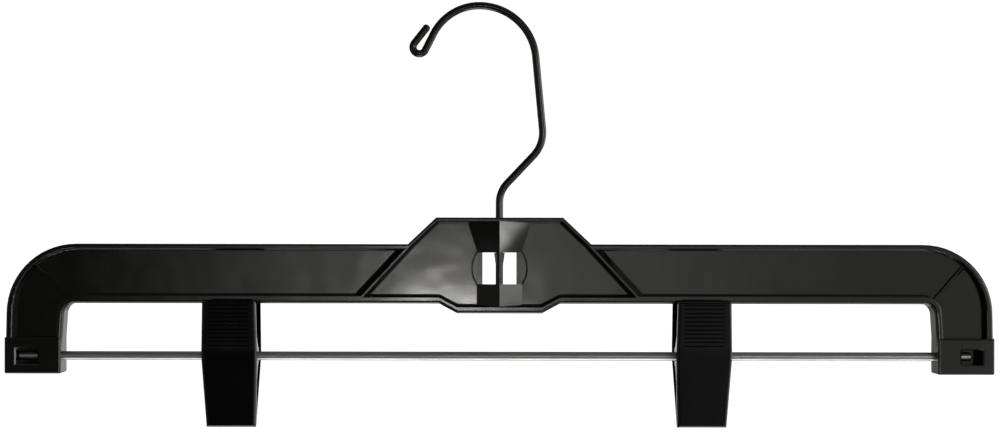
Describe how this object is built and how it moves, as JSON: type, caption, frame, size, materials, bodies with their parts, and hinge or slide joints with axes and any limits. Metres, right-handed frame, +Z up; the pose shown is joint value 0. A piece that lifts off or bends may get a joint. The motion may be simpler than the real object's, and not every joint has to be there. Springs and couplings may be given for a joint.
{
  "type": "skirt hanger",
  "caption": "Plastic skirt hanger with a swivelling wire hook and a steel rod between its feet that carries sliding sprung pinch clips.",
  "frame": {"origin": "inside of the hook's bow on the swivel axis, where a rail bears", "axes": "+Z up along the swivel axis, +X along the rod to the viewer's right, -Y towards the viewer"},
  "size_m": [0.3556, 0.0198, 0.1538],
  "materials": {
    "frame_plastic": "black moulded plastic, semi-gloss",
    "clip_plastic": "black moulded plastic, semi-gloss",
    "hook_wire": "black coated wire, glossy",
    "rod_steel": "bright drawn steel",
    "spring_steel": "plain spring wire"
  },
  "bodies": {
    "hook": {"swivel_hook": "hook_wire"},
    "frame": {"hanger_frame": "frame_plastic", "clip_rod": "rod_steel"},
    "left_clip": {"left_clip_spring": "spring_steel"},
    "left_front_jaw": {"left_clip_front_jaw": "clip_plastic"},
    "left_back_jaw": {"left_clip_back_jaw": "clip_plastic"},
    "right_clip": {"right_clip_spring": "spring_steel"},
    "right_front_jaw": {"right_clip_front_jaw": "clip_plastic"},
    "right_back_jaw": {"right_clip_back_jaw": "clip_plastic"}
  },
  "joints": [
    {"name": "hook_swivel", "type": "hinge", "parent": "hook", "child": "frame", "pos_m": [0, 0, -0.07387], "axis": [0, 0, 1], "continuous": true},
    {"name": "left_clip_slide", "type": "slide", "parent": "frame", "child": "left_clip", "axis": [1, 0, 0], "range_m": [-0.0496, 0.0863]},
    {"name": "left_clip_squeeze", "type": "hinge", "parent": "left_clip", "child": "left_front_jaw", "pos_m": [-0.0968, 0, -0.12397], "axis": [-1, 0, 0], "range_deg": [0, 8], "stiffness_Nm_per_rad": 0.1, "springref_deg": -20.05, "deforming": ["left_clip_spring"]},
    {"name": "left_clip_back_squeeze", "type": "hinge", "parent": "left_clip", "child": "left_back_jaw", "pos_m": [-0.0968, 0, -0.12397], "axis": [1, 0, 0], "range_deg": [0, 8]},
    {"name": "right_clip_slide", "type": "slide", "parent": "frame", "child": "right_clip", "axis": [1, 0, 0], "range_m": [-0.0627, 0.0732]},
    {"name": "right_clip_squeeze", "type": "hinge", "parent": "right_clip", "child": "right_front_jaw", "pos_m": [0.0732, 0, -0.12397], "axis": [-1, 0, 0], "range_deg": [0, 8], "stiffness_Nm_per_rad": 0.1, "springref_deg": -20.05, "deforming": ["right_clip_spring"]},
    {"name": "right_clip_back_squeeze", "type": "hinge", "parent": "right_clip", "child": "right_back_jaw", "pos_m": [0.0732, 0, -0.12397], "axis": [1, 0, 0], "range_deg": [0, 8]}
  ],
  "couplings": [
    {"joint": "left_clip_back_squeeze", "follows": "left_clip_squeeze", "ratio": 1},
    {"joint": "right_clip_back_squeeze", "follows": "right_clip_squeeze", "ratio": 1}
  ]
}
